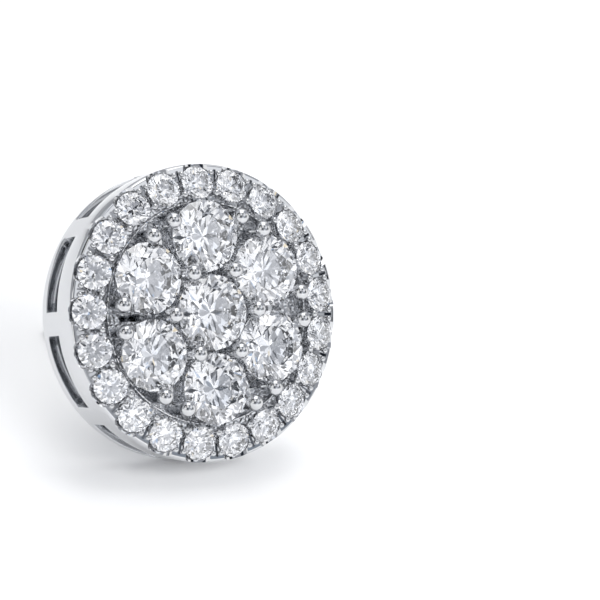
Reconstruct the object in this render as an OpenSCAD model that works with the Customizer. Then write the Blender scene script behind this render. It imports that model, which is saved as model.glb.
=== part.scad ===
// Round cluster stud earring. Units are millimetres.
// The head is drawn on its own axis, with the faces of the stones towards +Z and z = 0 at the centres of the
// outer ball prongs. Then it is leaned back onto its rim and the tip of its post, as it rests on a table.

/* [Main stones] */
// Diameter of the centre stone
center_d = 2.65; // [2.45:0.05:2.65]
// Diameter of each of the six stones around it
stone_d = 2.5; // [2.35:0.05:2.5]
// Distance from the axis to the centre of each of the six stones
cluster_r = 2.64; // [2.62:0.01:2.66]
// Depth of the six girdles behind the centres of the outer balls
stone_drop = 0.30; // [0.28:0.01:0.34]
// Height of the centre stone over the other six
center_rise = 0.14; // [0:0.02:0.2]

/* [Halo stones] */
// Number of small stones in the halo
halo_count = 21; // [19:1:21]
// Diameter of each small stone
halo_d = 1.20; // [1.1:0.02:1.22]
// Distance from the axis to the centre of each small stone
halo_r = 4.51; // [4.5:0.01:4.54]
// Depth of the small stones' girdles behind the centres of the outer balls
halo_drop = 0.54; // [0.54:0.01:0.58]
// Lean of the small stones away from the axis, in degrees
halo_tilt = 18; // [14:1:20]

/* [Cut] */
// Width of the table as a share of the stone's diameter
table_share = 0.57; // [0.53:0.01:0.62]
// Slope of the main facets over the girdle, in degrees
crown_angle = 34.5; // [32:0.5:36]
// Slope of the main facets under the girdle, in degrees
pavilion_angle = 40.8; // [40:0.2:42]
// Thickness of the girdle as a share of the diameter
girdle_share = 0.03; // [0.02:0.005:0.04]
// Clearance between a stone and the metal around it
stone_gap = 0.035; // [0.02:0.005:0.05]

/* [Ball prongs] */
// Diameter of the balls that hold the main stones
ball_d = 0.58; // [0.5:0.02:0.6]
// Diameter of the wires under the balls
wire_d = 0.46; // [0.4:0.02:0.5]
// Distance from the axis to each of the six inner balls
inner_ball_r = 1.60; // [1.56:0.01:1.64]
// Height of the inner balls over the outer ones
inner_ball_rise = 0.20; // [0.1:0.02:0.24]
// Distance from the axis to each of the twelve outer balls
outer_ball_r = 3.48; // [3.4:0.01:3.5]
// Angle between an outer ball and the middle of its stone, in degrees
outer_ball_spread = 22.2; // [21:0.2:24]

/* [Halo prongs] */
// Diameter of the small outer prongs, which stand in pairs
prong_d = 0.20; // [0.18:0.01:0.24]
// Distance from the axis to the small outer prongs
prong_r = 4.86; // [4.84:0.01:4.9]
// Angle between a small outer prong and the joint of two stones, in degrees
prong_spread = 1.8; // [1.6:0.1:2]
// Depth of the tips of the small outer prongs
prong_drop = 0.58; // [0.56:0.01:0.6]
// Diameter of the single beads at the inner edge of the halo
bead_d = 0.24; // [0.2:0.01:0.26]
// Distance from the axis to the beads
bead_r = 4.15; // [4.12:0.01:4.16]
// Depth of the beads
bead_drop = 0.35; // [0.34:0.01:0.4]
// Width of the notch between the two prongs of a pair
notch_w = 0.10; // [0.06:0.01:0.12]
// Depth of the bottom of the notches
notch_drop = 0.86; // [0.84:0.01:0.92]
// Diameter of the scallop under each small stone
scallop_d = 1.30; // [1.24:0.02:1.34]
// Depth of the bottom of the scallops
scallop_drop = 0.83; // [0.82:0.01:0.9]

/* [Gallery] */
// Radius of the gallery wall at the back
gallery_r = 5.06; // [5.02:0.01:5.12]
// Flare of the gallery wall: how much wider its front is
wall_flare = 0.11; // [0.08:0.01:0.12]
// Thickness of the gallery wall at the back
wall_t = 0.60; // [0.5:0.05:0.65]
// Number of windows in the wall
window_count = 9; // [7:1:10]
// Width of the struts between the windows
strut_w = 0.82; // [0.7:0.02:1]
// Depth of the front edge of the windows
window_front = 1.83; // [1.8:0.01:1.9]
// Depth of the back edge of the windows
window_back = 2.75; // [2.6:0.05:2.8]
// Depth of the back of the head
head_back = 3.33; // [3.3:0.01:3.5]
// Rounding of the edge at the back
edge_r = 0.30; // [0.2:0.02:0.36]
// Inner radius of the ring at the back
back_ring_r = 4.10; // [4:0.05:4.3]

/* [Post] */
// Diameter of the ear post
post_d = 0.80; // [0.7:0.05:0.9]
// Length of the post behind the head
post_len = 10.0; // [9.5:0.5:12]

/* [Hidden] */
function two_digits(i) = str(i < 10 ? "0" : "", i);
HALO_NODES = [for (i = [1:halo_count]) str("halo_stone_", two_digits(i))];
CLUSTER_NODES = [for (i = [1:6]) str("cluster_stone_", i)];
$fn = 64;
metal = "gainsboro";
crystal = "aliceblue";

// Seat plate behind the seven main stones
plate_front = 1.05;
plate_back = 1.60;
plate_r = 4.0;
stone_hole_d = 0.7;
gap_hole_d = 0.7;
gap_hole_r = 2.95;
gap_slot_w = 0.5;
gap_slot_start = 2.1;

// Ring that carries the halo, with a thin lip at its inner edge
halo_ring_front = 0.72;
lip_front = 0.46;
lip_r = 3.80;
lip_t = 0.07;
halo_hole_d = 0.5;

// Metal between the scallops, which rises to the small prongs
fin_front = 0.62;
fin_r = 4.70;
fin_edge = 0.12;
fin_fall = 0.20;
prong_wire_d = 0.17;
bead_wire_d = 0.20;
prong_root = 1.20;

// Plain bridge across the back ring, with the hub that the post stands on
bridge_w = 1.5;
bridge_reach = back_ring_r + 0.2;
hub_d = 2.4;
hub_front = 2.60;
hub_back = head_back + 0.25;
post_gap = 0.03;
post_root = hub_back + post_gap;
post_tip = head_back + post_len;

// Directions around the axis, in degrees: one main stone and one halo stone stand at the top
cluster_angles = [for (k = [0:5]) 90 + 60 * k];
halo_angles = [for (k = [0:halo_count - 1]) 90 + 360 * k / halo_count];
joint_angles = [for (a = halo_angles) a + 180 / halo_count];
strut_angles = [for (k = [0:window_count - 1]) 180 + 360 * k / window_count];
strut_half = asin(strut_w / 2 / gallery_r);

// Lean of the head when its back edge and the tip of the post both touch the table
rim_r = gallery_r - edge_r;
rim_back = head_back - edge_r;
tip_back = post_tip - post_d / 2;
reach = norm([rim_r, tip_back - rim_back]);
lean = atan2(rim_r, tip_back - rim_back) - asin((post_d / 2 - edge_r) / reach);
rest_height = rim_r * cos(lean) + rim_back * sin(lean) + edge_r;

// Reach of the leaned earring to the front and the back, which centres it over the origin
front_ball = outer_ball_r * cos(outer_ball_spread);
ball_reach = front_ball * sin(lean) + ball_d / 2;
front_prong = prong_r * cos(prong_spread);
prong_reach = front_prong * sin(lean) - prong_drop * cos(lean) + prong_d / 2;
front_reach = max(ball_reach, prong_reach);
back_reach = tip_back * cos(lean) + post_d / 2;
rest_shift = (front_reach - back_reach) / 2;

// Places its children around the axis, at a radius and a depth
module around(angle, radius, depth = 0) {
    rotate([0, 0, angle]) translate([radius, 0, -depth]) children();
}

// Leans the head back and sets it down with the origin on the table
module resting() {
    translate([0, rest_shift, rest_height]) rotate([90 - lean, 0, 0]) children();
}

// Points on a circle, turned by half a step or not
function circle_points(count, radius, z, turn) =
    [for (k = [0:count - 1]) let (a = 360 * k / count + turn) [radius * cos(a), radius * sin(a), z]];

// Heights of a round brilliant over the middle of its girdle, as shares of its radius
crown_top = girdle_share + (1 - table_share) * tan(crown_angle);
culet_drop = girdle_share + tan(pavilion_angle);
star_share = 0.5 + table_share / 2;
star_height = girdle_share + (1 - star_share * cos(22.5)) * tan(crown_angle);
lower_share = 0.24;
lower_drop = culet_drop - lower_share * cos(22.5) * tan(pavilion_angle);

// Round brilliant with 57 facets: table, stars, kites, upper and lower girdle facets and pavilion kites
module brilliant(d) {
    r = d / 2;
    points = r * concat(
        circle_points(8, table_share, crown_top, 0),
        circle_points(8, star_share, star_height, 22.5),
        circle_points(16, 1, girdle_share, 0),
        circle_points(16, 1, -girdle_share, 0),
        circle_points(8, lower_share, -lower_drop, 22.5),
        [[0, 0, -culet_drop]]);
    star = 8;
    top = 16;
    low = 32;
    under = 48;
    culet = 56;
    eight = [0:7];
    table_facet = [[for (k = eight) 7 - k]];
    star_facets = [for (k = eight) [k, (k + 1) % 8, star + k]];
    kites = [for (k = eight) [k, star + k, top + 2 * k, star + (k + 7) % 8]];
    upper_left = [for (k = eight) [star + k, top + 2 * k + 1, top + 2 * k]];
    upper_right = [for (k = eight) [star + k, top + (2 * k + 2) % 16, top + 2 * k + 1]];
    girdle = [for (k = [0:15]) [top + k, top + (k + 1) % 16, low + (k + 1) % 16, low + k]];
    lower_left = [for (k = eight) [under + k, low + 2 * k, low + 2 * k + 1]];
    lower_right = [for (k = eight) [under + k, low + 2 * k + 1, low + (2 * k + 2) % 16]];
    pavilion = [for (k = eight) [culet, under + (k + 7) % 8, low + 2 * k, under + k]];
    polyhedron(points, concat(table_facet, star_facets, kites, upper_left, upper_right, girdle,
        lower_left, lower_right, pavilion));
}

// Room that the metal leaves around a round brilliant
module stone_room(d) {
    r = d / 2;
    wide = r + stone_gap;
    rotate_extrude() polygon([
        [0, -r * culet_drop - stone_gap / cos(pavilion_angle)],
        [wide, -r * girdle_share - stone_gap / 3],
        [wide, r * girdle_share + stone_gap / 3],
        [r * table_share + stone_gap, r * crown_top + stone_gap],
        [0, r * crown_top + stone_gap]]);
}

// Places of the stones
module at_center() {
    translate([0, 0, center_rise - stone_drop]) children();
}
module at_cluster(angle) {
    around(angle, cluster_r, stone_drop) children();
}
module at_halo(angle) {
    around(angle, halo_r, halo_drop) rotate([0, halo_tilt, 0]) children();
}

// Turned outline of the gallery: lip, halo ring, rounded front edge, wall, rounded back edge and back ring
module gallery_body() {
    front_r = gallery_r + wall_flare - fin_edge;
    front_depth = fin_front + fin_fall;
    front = [for (a = [90:-30:0]) [front_r + fin_edge * cos(a), -front_depth + fin_fall * sin(a)]];
    edge = [for (a = [0:-15:-90]) [rim_r + edge_r * cos(a), -rim_back + edge_r * sin(a)]];
    rotate_extrude() polygon(concat(
        [[lip_r, -lip_front], [lip_r + lip_t, -lip_front], [lip_r + lip_t, -halo_ring_front]],
        [[halo_r, -halo_ring_front], [fin_r, -fin_front]],
        front,
        edge,
        [[back_ring_r, -head_back], [back_ring_r, -window_back], [gallery_r - wall_t, -window_back]],
        [[gallery_r - wall_t, -window_front], [lip_r, -window_front]]));
}

// Cutters for the curved windows between the struts
module windows() {
    span = 360 / window_count - 2 * strut_half;
    for (a = strut_angles)
        rotate([0, 0, a + strut_half])
            rotate_extrude(angle = span)
                translate([gallery_r - wall_t - 0.2, -window_back])
                    square([wall_t + 0.5, window_back - window_front]);
}

// Cutter for one scallop: a round bottom that opens to the front
module scallop() {
    radius = scallop_d / 2;
    depth = scallop_drop - radius;
    length = gallery_r - halo_r + 0.4;
    translate([halo_r, 0, -depth]) rotate([0, 90, 0]) cylinder(h = length, r = radius);
    translate([halo_r, -radius, -depth]) cube([length, scallop_d, depth]);
}

// Cutter for the notch at the joint of two halo stones
module notch() {
    start = bead_r + bead_d / 2;
    translate([start, -notch_w / 2, -notch_drop]) cube([gallery_r - start + 0.4, notch_w, notch_drop]);
}

// Cutter for the keyhole behind a gap between two main stones
module gap_hole() {
    length = gap_hole_r - gap_slot_start;
    cylinder(h = 1.5, d = gap_hole_d);
    translate([-length, -gap_slot_w / 2, 0]) cube([length, gap_slot_w, 1.5]);
}

// Wire with a ball on its end, standing on the plane at a given depth
module ball_wire(ball, wire, depth, root) {
    translate([0, 0, -depth]) sphere(d = ball);
    translate([0, 0, -root]) cylinder(h = root - depth, d = wire);
}

// The eighteen ball prongs of the main stones
module ball_prongs() {
    root = plate_back - 0.1;
    for (a = cluster_angles) {
        around(a + 30, inner_ball_r) ball_wire(ball_d, wire_d, -inner_ball_rise, root);
        around(a + outer_ball_spread, outer_ball_r) ball_wire(ball_d, wire_d, 0, root);
        around(a - outer_ball_spread, outer_ball_r) ball_wire(ball_d, wire_d, 0, root);
    }
}

// Pairs of small prongs at the outer edge of the halo and single beads at its inner edge
module halo_prongs() {
    for (a = joint_angles) {
        around(a + prong_spread, prong_r) ball_wire(prong_d, prong_wire_d, prong_drop, prong_root);
        around(a - prong_spread, prong_r) ball_wire(prong_d, prong_wire_d, prong_drop, prong_root);
        around(a, bead_r) ball_wire(bead_d, bead_wire_d, bead_drop, halo_ring_front + 0.1);
    }
}

// Bridge and hub that carry the post
module bridge() {
    thickness = head_back - window_back;
    translate([-bridge_reach, -bridge_w / 2, -head_back]) cube([2 * bridge_reach, bridge_w, thickness]);
    translate([0, 0, -hub_back]) cylinder(h = hub_back - hub_front, d = hub_d);
}

// The whole soldered setting
module setting() {
    color(metal) resting() difference() {
        union() {
            difference() {
                gallery_body();
                windows();
                for (a = halo_angles) rotate([0, 0, a]) scallop();
                for (a = joint_angles) rotate([0, 0, a]) notch();
            }
            translate([0, 0, -plate_back]) cylinder(h = plate_back - plate_front, r = plate_r);
            ball_prongs();
            halo_prongs();
            bridge();
        }
        at_center() stone_room(center_d);
        translate([0, 0, -plate_back - 1]) cylinder(h = 1.5, d = stone_hole_d);
        for (a = cluster_angles) {
            at_cluster(a) stone_room(stone_d);
            around(a, cluster_r, plate_back + 1) cylinder(h = 1.5, d = stone_hole_d);
            around(a + 30, gap_hole_r, plate_back + 0.5) gap_hole();
        }
        for (a = halo_angles) at_halo(a) {
            stone_room(halo_d);
            translate([0, 0, -2]) cylinder(h = 1.7, d = halo_hole_d);
        }
    }
}

// Plain ear post with a round tip, standing on the hub
module post() {
    color(metal) resting() {
        translate([0, 0, -tip_back]) cylinder(h = tip_back - post_root, d = post_d);
        translate([0, 0, -tip_back]) sphere(d = post_d);
    }
}

module center_stone() {
    color(crystal) resting() at_center() brilliant(center_d);
}

module cluster_stone(i) {
    color(crystal) resting() at_cluster(cluster_angles[i]) brilliant(stone_d);
}

module halo_stone(i) {
    color(crystal) resting() at_halo(halo_angles[i]) brilliant(halo_d);
}

setting();
post();
center_stone();
for (i = [0:5]) cluster_stone(i);
for (i = [0:halo_count - 1]) halo_stone(i);
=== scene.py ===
from math import acos, asin, atan2, cos, hypot, pi, radians, sin, tan

import bmesh
import bpy
from mathutils import Matrix, Vector


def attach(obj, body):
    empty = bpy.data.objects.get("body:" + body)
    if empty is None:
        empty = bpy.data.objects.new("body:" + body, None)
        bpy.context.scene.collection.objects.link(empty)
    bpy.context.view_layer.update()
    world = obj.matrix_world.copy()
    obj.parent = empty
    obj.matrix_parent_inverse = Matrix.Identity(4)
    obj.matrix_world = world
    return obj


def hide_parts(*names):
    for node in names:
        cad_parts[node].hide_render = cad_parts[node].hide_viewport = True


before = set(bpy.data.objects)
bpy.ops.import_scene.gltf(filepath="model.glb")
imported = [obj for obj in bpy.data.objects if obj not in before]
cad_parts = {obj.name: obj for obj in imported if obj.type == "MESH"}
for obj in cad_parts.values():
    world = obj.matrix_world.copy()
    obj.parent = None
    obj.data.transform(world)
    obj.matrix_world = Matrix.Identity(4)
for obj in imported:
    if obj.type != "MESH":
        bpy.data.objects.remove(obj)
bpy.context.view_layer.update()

scene = bpy.context.scene

# Sizes are in millimetres on the head's own axis: stones towards +Z, z = 0 at the centres of the outer balls
perMetre = 1000
head = {
    "wallR": 5.06,         # outside of the polished wall at the back
    "rimR": 5.17, "rimZ": -0.82,   # the flared front of the wall
    "backZ": -3.33,
    "backRound": 0.30,     # radius of the wall's back edge
    "postTipZ": -13.33,
    "postR": 0.40,
    "frontReach": 3.2220,  # how far below the axis the foremost ball stands
    "frontBall": 0.29,     # its radius
}


def restPlace():
    # the wall's back edge and the post's tip both touch the table
    rimR = head["wallR"] - head["backRound"]
    rimDepth = -head["backZ"] - head["backRound"]
    tipDepth = -head["postTipZ"] - head["postR"]
    reach = hypot(rimR, tipDepth - rimDepth)
    lean = atan2(rimR, tipDepth - rimDepth) - asin((head["postR"] - head["backRound"]) / reach)
    height = rimR * cos(lean) + rimDepth * sin(lean) + head["backRound"]
    front = head["frontReach"] * sin(lean) + head["frontBall"]
    back = tipDepth * cos(lean) + head["postR"]
    lift = Matrix.Translation((0, (front - back) / 2, height))
    return Matrix.Scale(1 / perMetre, 4) @ lift @ Matrix.Rotation(pi / 2 - lean, 4, "X")


headToTable = restPlace()


def wallAt(z):
    # outside radius of the slightly conical wall
    back = head["backZ"] + head["backRound"]
    return head["wallR"] + (head["rimR"] - head["wallR"]) * (z - back) / (head["rimZ"] - back)


def aroundAxis(degrees, radius, z):
    return Matrix.Rotation(radians(degrees), 4, "Z") @ Matrix.Translation((radius, 0, z))


def quarterTurn(steps):
    return [pi / 2 * k / steps for k in range(steps + 1)]


def rgb(code):
    # from an sRGB hex code to the linear colour that shaders and lamps take
    parts = [int(code[i:i + 2], 16) / 255 for i in (1, 3, 5)]
    return tuple(p / 12.92 if p <= 0.04045 else ((p + 0.055) / 1.055) ** 2.4 for p in parts) + (1.0,)


def addNode(tree, kind, links=None, **settings):
    node = tree.nodes.new(kind)
    for name, value in settings.items():
        socket = name.replace("_", " ")
        if hasattr(node, name):
            setattr(node, name, value)
        else:
            node.inputs[socket].default_value = value
    for name, source in (links or {}).items():
        tree.links.new(source, node.inputs[name])
    return node


def newMaterial(name):
    material = bpy.data.materials.new(name)
    material.use_nodes = True
    tree = material.node_tree
    tree.nodes.clear()
    shader = addNode(tree, "ShaderNodeBsdfPrincipled")
    addNode(tree, "ShaderNodeOutputMaterial", {"Surface": shader.outputs["BSDF"]})
    return material, tree, shader


whiteGoldLook = {
    "colour": "#d3d4d6",       # pale grey, hardly lilac
    "smooth": 0.035,           # roughness of the best polished places
    "hazy": 0.085,             # roughness where the polishing mop left a haze
    "hazeSize": 0.9,           # mm across a hazy patch
    "waveSize": 0.35,          # mm across the faint waves that hand polishing leaves
    "waveHeight": 0.0006,      # mm
}


def whiteGold():
    # rhodium plated white gold, polished by hand: a cool mirror with a faint uneven haze
    material, tree, shader = newMaterial("polished white gold")
    place = addNode(tree, "ShaderNodeTexCoord")
    haze = addNode(tree, "ShaderNodeTexNoise", {"Vector": place.outputs["Object"]},
                   Scale=perMetre / whiteGoldLook["hazeSize"], Detail=3.0)
    rough = addNode(tree, "ShaderNodeMapRange", {"Value": haze.outputs["Fac"]})
    rough.inputs["To Min"].default_value = whiteGoldLook["smooth"]
    rough.inputs["To Max"].default_value = whiteGoldLook["hazy"]
    wave = addNode(tree, "ShaderNodeTexNoise", {"Vector": place.outputs["Object"]},
                   Scale=perMetre / whiteGoldLook["waveSize"], Detail=1.0)
    bump = addNode(tree, "ShaderNodeBump", {"Height": wave.outputs["Fac"]},
                   Strength=1.0, Distance=whiteGoldLook["waveHeight"] / perMetre)
    shader.inputs["Base Color"].default_value = rgb(whiteGoldLook["colour"])
    shader.inputs["Metallic"].default_value = 1.0
    tree.links.new(rough.outputs["Result"], shader.inputs["Roughness"])
    tree.links.new(bump.outputs["Normal"], shader.inputs["Normal"])
    return material


graverLook = {
    "roughness": 0.06,
    "cutSize": 0.17,           # mm across one cut
    "cutHeight": 0.040,        # mm
}


def graverCutGold():
    # the same gold around the stones, where the setter's graver left many tiny bright facets
    material, tree, shader = newMaterial("graver cut white gold")
    place = addNode(tree, "ShaderNodeTexCoord")
    cuts = addNode(tree, "ShaderNodeTexVoronoi", {"Vector": place.outputs["Object"]},
                   Scale=perMetre / graverLook["cutSize"])
    bump = addNode(tree, "ShaderNodeBump", {"Height": cuts.outputs["Distance"]},
                   Strength=1.0, Distance=graverLook["cutHeight"] / perMetre)
    shader.inputs["Base Color"].default_value = rgb(whiteGoldLook["colour"])
    shader.inputs["Metallic"].default_value = 1.0
    shader.inputs["Roughness"].default_value = graverLook["roughness"]
    tree.links.new(bump.outputs["Normal"], shader.inputs["Normal"])
    return material


diamondLook = {"colour": "#fbfcff", "refraction": 2.417}


def diamond():
    # colourless brilliant, cut and polished: clear, and so refractive that the light comes back out of the crown
    material, tree, shader = newMaterial("brilliant cut diamond")
    shader.inputs["Base Color"].default_value = rgb(diamondLook["colour"])
    shader.inputs["Roughness"].default_value = 0.0
    shader.inputs["IOR"].default_value = diamondLook["refraction"]
    shader.inputs["Transmission Weight"].default_value = 1.0
    return material


goldMaterial = whiteGold()
cutGoldMaterial = graverCutGold()
diamondMaterial = diamond()
print("scene: materials made")

weld = 0.00002             # mm between points that become one
bevelFrom = 40             # degrees between two faces whose edge gets a bevel
sharpFrom = 32             # degrees between two faces that are shaded apart


def turned(outline, steps, loop=False, start=0.0):
    # an outline of (radius, z) points spun around the axis
    bm = bmesh.new()
    points = [bm.verts.new((r, 0, z)) for r, z in outline]
    ends = points[1:] + points[:1] if loop else points[1:]
    sides = [bm.edges.new(pair) for pair in zip(points, ends)]
    bmesh.ops.rotate(bm, verts=points, cent=(0, 0, 0), matrix=Matrix.Rotation(start, 3, "Z"))
    bmesh.ops.spin(bm, geom=points + sides, cent=(0, 0, 0), axis=(0, 0, 1), dvec=(0, 0, 0),
                   angle=2 * pi, steps=steps, use_merge=True)
    bmesh.ops.remove_doubles(bm, verts=bm.verts, dist=weld)
    bmesh.ops.recalc_face_normals(bm, faces=bm.faces)
    return bm


def setOut(groups):
    # one mesh with a copy of each shape at each of its places
    together = bmesh.new()
    for shape, places in groups:
        for place in places:
            mesh = bpy.data.meshes.new("copy")
            shape.to_mesh(mesh)
            mesh.transform(place)
            together.from_mesh(mesh)
            bpy.data.meshes.remove(mesh)
        shape.free()
    return together


def objectFrom(bm, name):
    mesh = bpy.data.meshes.new(name)
    bm.to_mesh(mesh)
    bm.free()
    made = bpy.data.objects.new(name, mesh)
    scene.collection.objects.link(made)
    return made


def cutBy(bm, cutter):
    # takes the cutter's room out of a shape, and keeps the cutter
    target = objectFrom(bm, "target")
    cut = target.modifiers.new("room", "BOOLEAN")
    cut.object = cutter
    cut.operation = "DIFFERENCE"
    cut.solver = "EXACT"
    bpy.context.view_layer.update()
    result = bmesh.new()
    result.from_object(target, bpy.context.evaluated_depsgraph_get())
    mesh = target.data
    bpy.data.objects.remove(target)
    bpy.data.meshes.remove(mesh)
    return result


def softenEdges(bm, width, segments, wanted=lambda edge: True):
    limit = radians(bevelFrom)
    sharp = [e for e in bm.edges if len(e.link_faces) == 2 and e.calc_face_angle() > limit and wanted(e)]
    bmesh.ops.bevel(bm, geom=sharp, offset=width, segments=segments, profile=0.5, affect="EDGES",
                    material=-1, clamp_overlap=True, loop_slide=True)


def addPiece(name, bm, material, slotName, *nodes):
    # takes a shape in millimetres on the head's axis, and stands it on the table
    bmesh.ops.transform(bm, matrix=headToTable, verts=bm.verts)
    piece = objectFrom(bm, name)
    piece.data.shade_smooth()
    piece.data.set_sharp_from_angle(angle=radians(sharpFrom))
    piece.data.materials.append(material)
    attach(piece, "root")
    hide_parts(*nodes)
    print("scene:", name, "has", len(piece.data.polygons), "faces")
    return piece


# Room for the stones, which is taken out of everything around them

stones = {
    "centreD": 2.65, "centreZ": -0.16,
    "clusterD": 2.50, "clusterR": 2.64, "clusterZ": -0.30,
    "haloD": 1.20, "haloR": 4.51, "haloZ": -0.54, "haloTilt": 18, "haloCount": 21,
    "tableShare": 0.57, "crown": 34.5, "pavilion": 40.8, "girdleShare": 0.03,
    "gap": 0.035,          # between a stone and its seat
    "mainHoleR": 0.35, "haloHoleR": 0.25,
    "holeDepth": 2.2,
    "mainSteps": 64, "haloSteps": 48,      # faces around the room of a stone
    "gapHoleR": 0.20, "gapHoleAt": 2.95,   # keyholes between the main stones
    "gapSlotW": 0.22, "gapSlotFrom": 2.1,
    "gapFrontZ": -0.92, "gapBackZ": -2,
    "gapHalfSteps": 16,
}
topAngle = 90
clusterStep = 60
clusterAngles = [topAngle + clusterStep * k for k in range(6)]
haloStep = 360 / stones["haloCount"]
haloAngles = [topAngle + haloStep * k for k in range(stones["haloCount"])]


def stoneRoom(diameter, holeR, steps):
    # the brilliant's own outline with a gap all round, and an open hole behind it
    r, gap = diameter / 2, stones["gap"]
    wide = r + gap
    girdle = r * stones["girdleShare"] + gap / 3
    top = r * (stones["girdleShare"] + (1 - stones["tableShare"]) * tan(radians(stones["crown"]))) + gap
    low = -r * (stones["girdleShare"] + tan(radians(stones["pavilion"]))) - gap / cos(radians(stones["pavilion"]))
    holeZ = low + (-girdle - low) * holeR / wide
    depth = -stones["holeDepth"]
    return turned([(0, depth), (holeR, depth), (holeR, holeZ), (wide, -girdle), (wide, girdle),
                   (r * stones["tableShare"] + gap, top), (0, top)], steps)


def prism(section, low, high):
    # a straight bar along z, with its section given in x and y
    bm = bmesh.new()
    rows = [[bm.verts.new((x, y, z)) for x, y in section] for z in (low, high)]
    for k in range(len(section)):
        bm.faces.new((rows[0][k - 1], rows[0][k], rows[1][k], rows[1][k - 1]))
    for row in rows:
        bm.faces.new(row)
    bmesh.ops.recalc_face_normals(bm, faces=bm.faces)
    return bm


def gapHole():
    # a round hole with a slot that leads towards the middle stone
    r, half, steps = stones["gapHoleR"], stones["gapSlotW"] / 2, stones["gapHalfSteps"]
    turn = pi - asin(half / r)
    circle = [(r * cos(a), r * sin(a)) for a in (turn * (k / steps - 1) for k in range(2 * steps + 1))]
    end = stones["gapSlotFrom"] - stones["gapHoleAt"]
    return prism(circle + [(end, half), (end, -half)], stones["gapBackZ"], stones["gapFrontZ"])


centrePlace = Matrix.Translation((0, 0, stones["centreZ"]))
clusterPlaces = [aroundAxis(a, stones["clusterR"], stones["clusterZ"]) for a in clusterAngles]
tilt = Matrix.Rotation(radians(stones["haloTilt"]), 4, "Y")
haloPlaces = [aroundAxis(a, stones["haloR"], stones["haloZ"]) @ tilt for a in haloAngles]
gapPlaces = [aroundAxis(a + clusterStep / 2, stones["gapHoleAt"], 0) for a in clusterAngles]
rooms = objectFrom(setOut([
    (stoneRoom(stones["centreD"], stones["mainHoleR"], stones["mainSteps"]), [centrePlace]),
    (stoneRoom(stones["clusterD"], stones["mainHoleR"], stones["mainSteps"]), clusterPlaces),
    (stoneRoom(stones["haloD"], stones["haloHoleR"], stones["haloSteps"]), haloPlaces),
    (gapHole(), gapPlaces),
]), "rooms")
print("scene: stone rooms made")

# Troughs: what is cut away in front, a round one under each halo stone and a fine notch between two

scallop = {
    "innerR": 4.56, "innerZ": -0.67,
    "finR": 4.70, "finZ": -0.62,      # top of the metal between two scallops
    "halfWidth": 0.65,
    "bottomZ": -0.83,
    "openZ": 0.3, "pastRim": 0.3,     # how far the cutter goes on to the front and outwards
    "halfSteps": 32,
    "roundR": 0.12, "roundZ": 0.20,   # how far the rounded front edge reaches in and back
    "roundSteps": 8,
    "columns": 315,
}
notch = {
    "fromR": 4.27, "toR": 4.99, "halfWidth": 0.05,
    "floorZ": -0.86, "openZ": -0.3,   # it lies between the two prongs of a pair
}


def trough():
    # its section is drawn with x towards the back, and then turned to lie along the radius
    half, steps = scallop["halfWidth"], scallop["halfSteps"]
    middle = scallop["bottomZ"] + half
    section = [(half * sin(a) - middle, half * cos(a)) for a in (pi * k / steps for k in range(steps + 1))]
    section += [(-scallop["openZ"], -half), (-scallop["openZ"], half)]
    bm = prism(section, stones["haloR"], head["rimR"] + scallop["pastRim"])
    bmesh.ops.rotate(bm, verts=bm.verts, cent=(0, 0, 0), matrix=Matrix.Rotation(pi / 2, 3, "Y"))
    return bm


def notchRoom():
    half = notch["halfWidth"]
    section = [(notch["fromR"], -half), (notch["toR"], -half), (notch["toR"], half), (notch["fromR"], half)]
    return prism(section, notch["floorZ"], notch["openZ"])


jointAngles = [a + haloStep / 2 for a in haloAngles]
troughs = objectFrom(setOut([
    (trough(), [Matrix.Rotation(radians(a), 4, "Z") for a in haloAngles]),
    (notchRoom(), [Matrix.Rotation(radians(a), 4, "Z") for a in jointAngles]),
]), "troughs")

# Gallery: the polished wall with its windows and the ring at the back

gallery = {
    "frontZ": -1.45,       # where it meets the scalloped wall
    "innerR": 4.46,
    "windowFrontZ": -1.83, "windowBackZ": -2.75,
    "windows": 9,
    "strutColumns": 8, "windowColumns": 26,   # columns of faces along a strut and a window
    "backRingR": 4.10,
    "roundSteps": 8,
    "edge": 0.035, "edgeSteps": 3,    # width of the small bright bevels
    "seam": 0.1,           # no bevel this close to the scalloped wall
}


def galleryShape():
    columns = gallery["strutColumns"] + gallery["windowColumns"]
    total = columns * gallery["windows"]
    backR = head["wallR"] - head["backRound"]
    backZ = head["backZ"] + head["backRound"]
    roundEdge = [(backR + head["backRound"] * cos(a), backZ - head["backRound"] * sin(a))
                 for a in quarterTurn(gallery["roundSteps"])]
    outline = [(wallAt(gallery["frontZ"]), gallery["frontZ"]),
               (wallAt(gallery["windowFrontZ"]), gallery["windowFrontZ"]),
               (wallAt(gallery["windowBackZ"]), gallery["windowBackZ"]), *roundEdge,
               (gallery["backRingR"], head["backZ"]), (gallery["backRingR"], gallery["windowBackZ"]),
               (gallery["innerR"], gallery["windowBackZ"]), (gallery["innerR"], gallery["windowFrontZ"]),
               (gallery["innerR"], gallery["frontZ"])]
    start = pi - pi * gallery["strutColumns"] / total      # the first strut stands at 180 degrees
    bm = turned(outline, total, loop=True, start=start)
    half = pi * gallery["windowColumns"] / total
    for k in range(gallery["windows"]):
        middle = pi + 2 * pi * (k + 0.5) / gallery["windows"]
        opened = []
        for face in bm.faces:
            c = face.calc_center_median()
            off = (atan2(c.y, c.x) - middle + pi) % (2 * pi) - pi
            if abs(off) < half and gallery["windowBackZ"] < c.z < gallery["windowFrontZ"]:
                opened.append(face)
        bmesh.ops.delete(bm, geom=opened, context="FACES")
        bmesh.ops.bridge_loops(bm, edges=[e for e in bm.edges if e.is_boundary])
    bmesh.ops.recalc_face_normals(bm, faces=bm.faces)
    bevelBehind = gallery["frontZ"] - gallery["seam"]
    softenEdges(bm, gallery["edge"], gallery["edgeSteps"], lambda e: e.verts[0].co.z < bevelBehind)
    return bm


addPiece("gallery", galleryShape(), goldMaterial, "white_gold", "setting")

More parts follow.
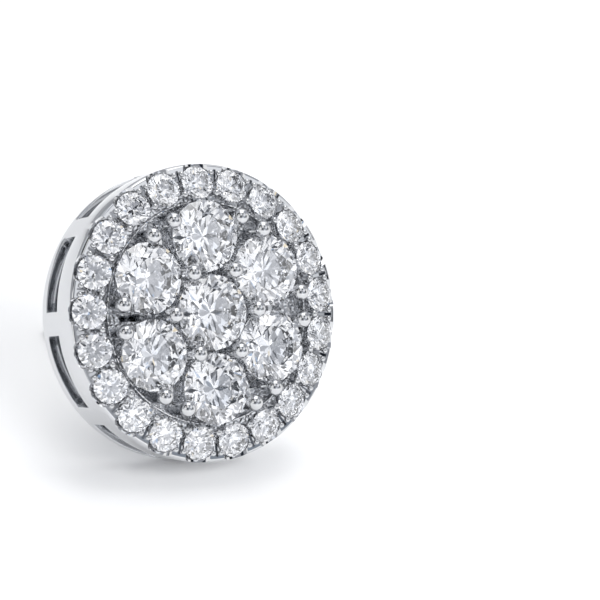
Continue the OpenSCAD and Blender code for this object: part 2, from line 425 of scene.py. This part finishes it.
# Scalloped wall: the front of the wall, cut away in a round under each halo stone

def scallopShape():
    frontR, frontZ = head["rimR"] - scallop["roundR"], head["rimZ"]
    roundEdge = [(frontR + scallop["roundR"] * cos(a), frontZ + scallop["roundZ"] * sin(a))
                 for a in quarterTurn(scallop["roundSteps"])]
    outline = [(wallAt(gallery["frontZ"]), gallery["frontZ"]), *roundEdge, (scallop["finR"], scallop["finZ"]),
               (scallop["innerR"], scallop["innerZ"]), (scallop["innerR"], gallery["frontZ"])]
    return cutBy(cutBy(turned(outline, scallop["columns"], loop=True), troughs), rooms)


addPiece("scalloped_wall", scallopShape(), goldMaterial, "white_gold", "setting")

# Seats: the plate behind the main stones and the ring that carries the halo, with a thin lip between them

seats = {
    "plateFrontZ": -1.05, "plateBackZ": -1.60,
    "lipR": 3.80, "lipT": 0.07, "lipZ": -0.485,
    "lipEdgeR": 0.012, "lipEdgeZ": 0.008, "lipSideZ": 0.03,   # its softened front
    "ringFrontZ": -0.72, "ringBackZ": -1.83,
    "ringFall": 0.005,     # how much lower the ring's front lies at its outside
    "outerR": 4.60,
    "tuck": 0.01, "backInset": 0.02,  # how the hidden edges pass those of the gallery wall
    "columns": 252,
    "backNormal": -0.5,    # faces that look further back than this stay as the polishing mop left them
}


def seatShape():
    lipIn, lipOut = seats["lipR"], seats["lipR"] + seats["lipT"]
    lipMid = (lipIn + lipOut) / 2
    sideZ, edgeZ = seats["lipZ"] - seats["lipSideZ"], seats["lipZ"] - seats["lipEdgeZ"]
    wallR, wallZ, tuck = gallery["innerR"], gallery["frontZ"], seats["tuck"]
    outline = [(0, seats["plateFrontZ"]), (lipIn, seats["plateFrontZ"]), (lipIn, sideZ),
               (lipIn + seats["lipEdgeR"], edgeZ), (lipMid, seats["lipZ"]),
               (lipOut - seats["lipEdgeR"], edgeZ), (lipOut, sideZ),
               (lipOut, seats["ringFrontZ"]), (seats["outerR"], seats["ringFrontZ"] - seats["ringFall"]),
               (seats["outerR"], wallZ + tuck), (wallR + tuck, wallZ - tuck),
               (wallR + tuck, seats["ringBackZ"] + tuck), (wallR - seats["backInset"], seats["ringBackZ"]),
               (lipIn, seats["ringBackZ"]), (lipIn, seats["plateBackZ"]), (0, seats["plateBackZ"])]
    bm = cutBy(cutBy(turned(outline, seats["columns"]), troughs), rooms)
    bm.normal_update()
    for face in bm.faces:
        face.material_index = 1 if face.normal.z < seats["backNormal"] else 0
    return bm


seatPiece = addPiece("stone_seats", seatShape(), cutGoldMaterial, "white_gold", "setting")
seatPiece.data.materials.append(goldMaterial)   # for its back

# Prongs: a ball on a wire, cut back where a stone stands in it

mainProngs = {
    "ballR": 0.29, "wireR": 0.23, "rootZ": -1.50,
    "innerR": 1.60, "innerZ": 0.20,
    "outerR": 3.48, "spread": 22.2,   # degrees to either side of a stone
    "rings": 20, "steps": 40,
}
smallProngs = {
    "ballR": 0.10, "wireR": 0.085, "rootZ": -1.20,
    "ringR": 4.86, "spread": 1.8, "z": -0.58,
    "rings": 12, "steps": 20,
}
beads = {"ballR": 0.12, "wireR": 0.10, "rootZ": -0.82, "ringR": 4.15, "z": -0.35, "rings": 12, "steps": 20}


def ballOnWire(look, ballZ):
    rings = look["rings"]
    lowest = acos(look["wireR"] / look["ballR"])
    turns = [pi / 2 - (pi / 2 + lowest) * k / rings for k in range(rings + 1)]
    ball = [(look["ballR"] * cos(t), look["ballR"] * sin(t)) for t in turns]
    ball[0] = (0, look["ballR"])
    return turned(ball + [(look["wireR"], look["rootZ"] - ballZ), (0, look["rootZ"] - ballZ)], look["steps"])


innerPlaces = [aroundAxis(a + clusterStep / 2, mainProngs["innerR"], mainProngs["innerZ"]) for a in clusterAngles]
outerPlaces = [aroundAxis(a + side * mainProngs["spread"], mainProngs["outerR"], 0)
               for a in clusterAngles for side in (-1, 1)]
pairPlaces = [aroundAxis(a + side * smallProngs["spread"], smallProngs["ringR"], smallProngs["z"])
              for a in jointAngles for side in (-1, 1)]
beadPlaces = [aroundAxis(a, beads["ringR"], beads["z"]) for a in jointAngles]

balls = setOut([(ballOnWire(mainProngs, mainProngs["innerZ"]), innerPlaces),
                (ballOnWire(mainProngs, 0), outerPlaces)])
addPiece("ball_prongs", cutBy(balls, rooms), goldMaterial, "white_gold", "setting")
tips = setOut([(ballOnWire(smallProngs, smallProngs["z"]), pairPlaces)])
addPiece("halo_prongs", cutBy(tips, rooms), goldMaterial, "white_gold", "setting")
grains = setOut([(ballOnWire(beads, beads["z"]), beadPlaces)])
addPiece("halo_beads", cutBy(grains, rooms), goldMaterial, "white_gold", "setting")

# Bridge, hub and post, which nobody sees in the photograph

bridge = {"width": 1.5, "reach": 4.3, "frontZ": -2.80, "backZ": -3.28, "edge": 0.06, "edgeSteps": 3}
hub = {"r": 1.2, "frontZ": -2.60, "backZ": -3.58, "edge": 0.08, "edgeSteps": 4, "steps": 72}
post = {"rootZ": -3.61, "tipSteps": 10, "steps": 48}


def bridgeShape():
    bm = bmesh.new()
    size = Matrix.Diagonal((2 * bridge["reach"], bridge["width"], bridge["frontZ"] - bridge["backZ"], 1))
    middle = Matrix.Translation((0, 0, (bridge["frontZ"] + bridge["backZ"]) / 2))
    bmesh.ops.create_cube(bm, size=1, matrix=middle @ size)
    softenEdges(bm, bridge["edge"], bridge["edgeSteps"])
    return bm


def hubShape():
    outline = [(0, hub["frontZ"]), (hub["r"], hub["frontZ"]), (hub["r"], hub["backZ"]), (0, hub["backZ"])]
    bm = turned(outline, hub["steps"])
    softenEdges(bm, hub["edge"], hub["edgeSteps"])
    return bm


def postShape():
    tipZ = head["postTipZ"] + head["postR"]
    tip = [(head["postR"] * cos(a), tipZ - head["postR"] * sin(a)) for a in quarterTurn(post["tipSteps"])[:-1]]
    outline = [(0, post["rootZ"]), (head["postR"], post["rootZ"]), *tip, (0, head["postTipZ"])]
    return turned(outline, post["steps"])


addPiece("bridge", bridgeShape(), goldMaterial, "white_gold", "setting")
addPiece("post_hub", hubShape(), goldMaterial, "white_gold", "setting")
addPiece("ear_post", postShape(), goldMaterial, "white_gold", "post")
bpy.data.objects.remove(rooms)
bpy.data.objects.remove(troughs)

# The stones are the frame's own, and only get their material
for name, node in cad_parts.items():
    if "stone" in name:
        node.data.materials.clear()
        node.data.materials.append(diamondMaterial)
print("scene: stones dressed")

# White paper in a grey tent, with the white and dark panels that the metal and the stones mirror

studio = {
    "floorSize": 3.0,      # m
    "tentHigh": "#9b9ea5", "tentLow": "#a8aaae",
    "strength": 1.18,
    "panelEdge": 1,        # degrees over which a panel's edge fades, to either side
    "aimZ": 0.006,         # m above the table, where the lamps point
}
paperLook = {
    "colour": "#fbfbfb",
    "roughness": 0.6,
    "toothSize": 0.8,      # mm
    "toothHeight": 0.02,   # mm
    "toothShare": 0.2,
}
panels = [
    # azimuth and elevation of the middle and radius, all in degrees, then colour
    (270, 78, 24, "#ffffff"),
    (205, 18, 17, "#ffffff"),
    (303, 42, 20, "#f6f8fc"),
    (345, 16, 18, "#ffffff"),
    (150, 40, 22, "#cdd0d4"),
    (60, 45, 26, "#f2f3f5"),
    (239, 48, 10, "#ffffff"),
    (270, 8, 10, "#f4f8ff"),
    (250, 66, 6, "#8fa9cb"),
    (222, 58, 4, "#fff0d2"),
    (184, 42, 19, "#08090b"),
    (196, 39, 8, "#ffffff"),
    (239, 22, 12, "#242a33"),
    (285, 60, 10, "#0c1016"),
    (322, 18, 11, "#161c25"),
    (300, 15, 6, "#8a929c"),
]
softboxes = [
    # name, place in metres, width, height, watts, colour
    ("overhead", (0.02, 0.05, 0.42), 0.30, 0.30, 0.15, "#ffffff"),
    ("behind", (0.08, 0.13, 0.50), 0.30, 0.30, 0.38, "#ffffff"),
]
# reaches the paper alone, and lights it under the head's front edge
floorLight = ("floor light", (0.05, -0.42, 0.22), 0.30, 0.30, 1.30, "#ffffff")


def floorMaterial():
    # matt white seamless paper, with a fine tooth
    material, tree, shader = newMaterial("white seamless paper")
    place = addNode(tree, "ShaderNodeTexCoord")
    tooth = addNode(tree, "ShaderNodeTexNoise", {"Vector": place.outputs["Object"]},
                    Scale=perMetre / paperLook["toothSize"], Detail=2.0)
    bump = addNode(tree, "ShaderNodeBump", {"Height": tooth.outputs["Fac"]},
                   Strength=paperLook["toothShare"], Distance=paperLook["toothHeight"] / perMetre)
    shader.inputs["Base Color"].default_value = rgb(paperLook["colour"])
    shader.inputs["Roughness"].default_value = paperLook["roughness"]
    tree.links.new(bump.outputs["Normal"], shader.inputs["Normal"])
    return material


def addFloor():
    bm = bmesh.new()
    bmesh.ops.create_grid(bm, x_segments=1, y_segments=1, size=studio["floorSize"] / 2)
    floor = objectFrom(bm, "floor")
    floor.data.materials.append(floorMaterial())
    return floor


def addSky():
    world = bpy.data.worlds.new("studio")
    world.use_nodes = True
    scene.world = world
    tree = world.node_tree
    tree.nodes.clear()
    place = addNode(tree, "ShaderNodeTexCoord")
    split = addNode(tree, "ShaderNodeSeparateXYZ", {"Vector": place.outputs["Generated"]})
    ramp = addNode(tree, "ShaderNodeValToRGB", {"Fac": split.outputs["Z"]})
    ramp.color_ramp.elements[0].color = rgb(studio["tentLow"])
    ramp.color_ramp.elements[1].color = rgb(studio["tentHigh"])
    colour = ramp.outputs["Color"]
    fade = studio["panelEdge"]
    for azimuth, elevation, radius, tint in panels:
        level = cos(radians(elevation))
        towards = (level * cos(radians(azimuth)), level * sin(radians(azimuth)), sin(radians(elevation)))
        turn = addNode(tree, "ShaderNodeVectorMath", {0: place.outputs["Generated"]}, operation="DOT_PRODUCT")
        turn.inputs[1].default_value = towards
        edge = addNode(tree, "ShaderNodeMapRange", {"Value": turn.outputs["Value"]}, interpolation_type="SMOOTHSTEP",
                       From_Min=cos(radians(radius + fade)), From_Max=cos(radians(radius - fade)))
        panel = addNode(tree, "ShaderNodeMix", {"Factor": edge.outputs["Result"]}, data_type="RGBA")
        tree.links.new(colour, panel.inputs["A"])
        panel.inputs["B"].default_value = rgb(tint)
        colour = panel.outputs["Result"]
    light = addNode(tree, "ShaderNodeBackground", {"Color": colour}, Strength=studio["strength"])
    addNode(tree, "ShaderNodeOutputWorld", {"Surface": light.outputs["Background"]})


def addSoftbox(name, place, width, height, watts, colour):
    light = bpy.data.lights.new(name, "AREA")
    light.shape = "RECTANGLE"
    light.size, light.size_y = width, height
    light.energy = watts
    light.color = rgb(colour)[:3]
    lamp = bpy.data.objects.new(name, light)
    scene.collection.objects.link(lamp)
    lamp.location = place
    aim = Vector((0, 0, studio["aimZ"])) - lamp.location
    lamp.rotation_euler = aim.to_track_quat("-Z", "Y").to_euler()
    return lamp


def lightOnly(lamp, receiver):
    reached = bpy.data.collections.new(lamp.name)
    reached.objects.link(receiver)
    lamp.light_linking.receiver_collection = reached


floor = addFloor()
addSky()
for softbox in softboxes:
    addSoftbox(*softbox)
lightOnly(addSoftbox(*floorLight), floor)

view = {
    "place": (-0.051831, -0.093158, 0.047008),
    "turn": (68.2725, -8.1161, -28.8911),
    "lens": 192, "sensor": 36,        # mm
    "clip": (0.005, 10),   # m
}
camera = bpy.data.objects.new("camera", bpy.data.cameras.new("camera"))
scene.collection.objects.link(camera)
camera.location = view["place"]
camera.rotation_euler = [radians(a) for a in view["turn"]]
camera.data.lens = view["lens"]
camera.data.sensor_width = view["sensor"]
camera.data.clip_start, camera.data.clip_end = view["clip"]
scene.camera = camera

scene.view_settings.view_transform = "Standard"
scene.cycles.max_bounces = 24
scene.cycles.transmission_bounces = 24
scene.cycles.glossy_bounces = 10
scene.cycles.blur_glossy = 0.3
print("scene: studio and camera set")
